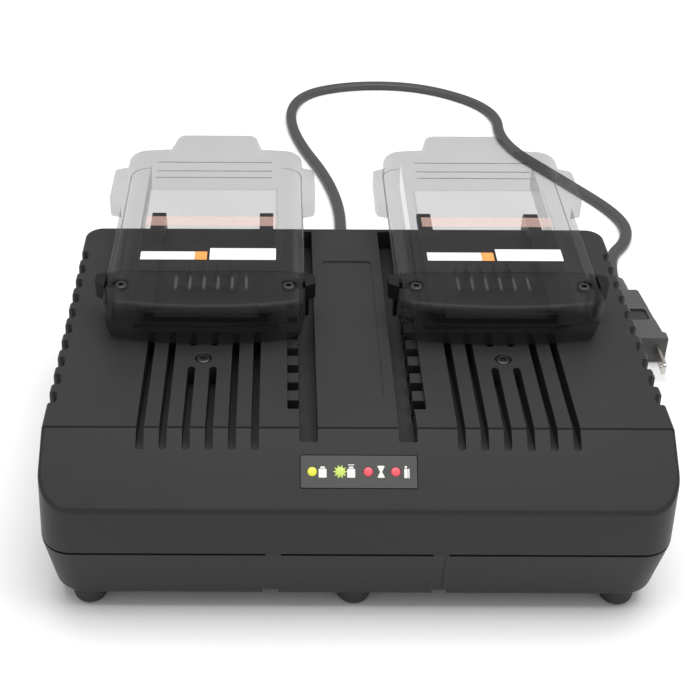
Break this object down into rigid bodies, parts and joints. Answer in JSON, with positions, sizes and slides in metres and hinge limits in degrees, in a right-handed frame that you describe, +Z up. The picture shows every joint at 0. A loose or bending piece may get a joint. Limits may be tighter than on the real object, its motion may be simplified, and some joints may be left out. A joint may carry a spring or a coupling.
{
  "type": "battery charger",
  "caption": "Wide double dock charger for slide-on battery packs: sloped front with indicator lamps, vented deck, two see-through packs on rails, flat mains lead with plug.",
  "frame": {"origin": "on the surface it stands on, in the middle of the area that the charger and its two packs cover, without the lead", "axes": "+X to the user's right along the charger's width, +Y away from the user towards the lead's exit, +Z up"},
  "size_m": [0.293, 0.4898, 0.0943],
  "materials": {
    "case_plastic": "fine moulded grain, satin",
    "dock_plastic": "smooth moulded",
    "clear_shell": "smoky see-through moulding",
    "label_film": "printed film",
    "latch_plastic": "moulded, ribbed",
    "plate_grey": "satin",
    "lens_yellow": "clear tinted",
    "lens_green": "clear tinted",
    "lens_red": "clear tinted",
    "foot_rubber": "matt",
    "cord_rubber": "satin sheath",
    "screw_steel": "blackened",
    "contact_metal": "tinned",
    "board_green": "lacquered",
    "ferrite": "sintered",
    "copper": "enamelled",
    "aluminium": "extruded",
    "black_resin": "moulded",
    "sleeve_blue": "shrunk sleeve",
    "fuse_glass": "clear",
    "white_plastic": "moulded"
  },
  "bodies": {
    "charger": {"upper_case": "case_plastic", "lower_case": "case_plastic", "rubber_feet": "foot_rubber", "case_screws": "screw_steel", "deck_screws": "screw_steel", "indicator_plate": "plate_grey", "lamp_yellow": "lens_yellow", "lamp_green": "lens_green", "lamp_red_left": "lens_red", "lamp_red_right": "lens_red", "indicator_board": "board_green", "indicator_emitters": "white_plastic", "indicator_standoffs": "case_plastic", "main_board": "board_green", "transformer_core": "ferrite", "transformer_winding": "copper", "heat_sinks": "aluminium", "power_switches": "black_resin", "capacitors": "sleeve_blue", "mains_choke": "copper", "fuse": "fuse_glass", "fuse_clips": "contact_metal", "cord_grip": "dock_plastic", "inner_lead": "cord_rubber", "strain_relief": "cord_rubber", "power_cord": "cord_rubber", "plug_boot": "cord_rubber", "plug_body": "cord_rubber", "plug_blades": "contact_metal", "dock_rail_left": "dock_plastic", "terminal_block_left": "dock_plastic", "contact_blades_left": "contact_metal", "dock_leads_left": "copper", "dock_rail_right": "dock_plastic", "terminal_block_right": "dock_plastic", "contact_blades_right": "contact_metal", "dock_leads_right": "copper"},
    "pack_left": {"pack_left_cover": "clear_shell", "pack_left_base": "clear_shell", "pack_left_label": "label_film", "pack_left_screws": "screw_steel", "pack_left_contacts": "contact_metal"},
    "latch_left_inner": {"pack_left_latch_inner": "latch_plastic"},
    "latch_left_outer": {"pack_left_latch_outer": "latch_plastic"},
    "pack_right": {"pack_right_cover": "clear_shell", "pack_right_base": "clear_shell", "pack_right_label": "label_film", "pack_right_screws": "screw_steel", "pack_right_contacts": "contact_metal"},
    "latch_right_inner": {"pack_right_latch_inner": "latch_plastic"},
    "latch_right_outer": {"pack_right_latch_outer": "latch_plastic"}
  },
  "joints": [
    {"name": "pack_left_slide", "type": "slide", "parent": "charger", "child": "pack_left", "axis": [0, -1, 0], "range_m": [0, 0.09]},
    {"name": "pack_right_slide", "type": "slide", "parent": "charger", "child": "pack_right", "axis": [0, -1, 0], "range_m": [0, 0.09]},
    {"name": "latch_left_inner_press", "type": "slide", "parent": "pack_left", "child": "latch_left_inner", "axis": [-1, 0, 0], "range_m": [0, 0.002], "stiffness_N_per_m": 600},
    {"name": "latch_left_outer_press", "type": "slide", "parent": "pack_left", "child": "latch_left_outer", "axis": [1, 0, 0], "range_m": [0, 0.002], "stiffness_N_per_m": 600},
    {"name": "latch_right_inner_press", "type": "slide", "parent": "pack_right", "child": "latch_right_inner", "axis": [1, 0, 0], "range_m": [0, 0.002], "stiffness_N_per_m": 600},
    {"name": "latch_right_outer_press", "type": "slide", "parent": "pack_right", "child": "latch_right_outer", "axis": [-1, 0, 0], "range_m": [0, 0.002], "stiffness_N_per_m": 600}
  ]
}
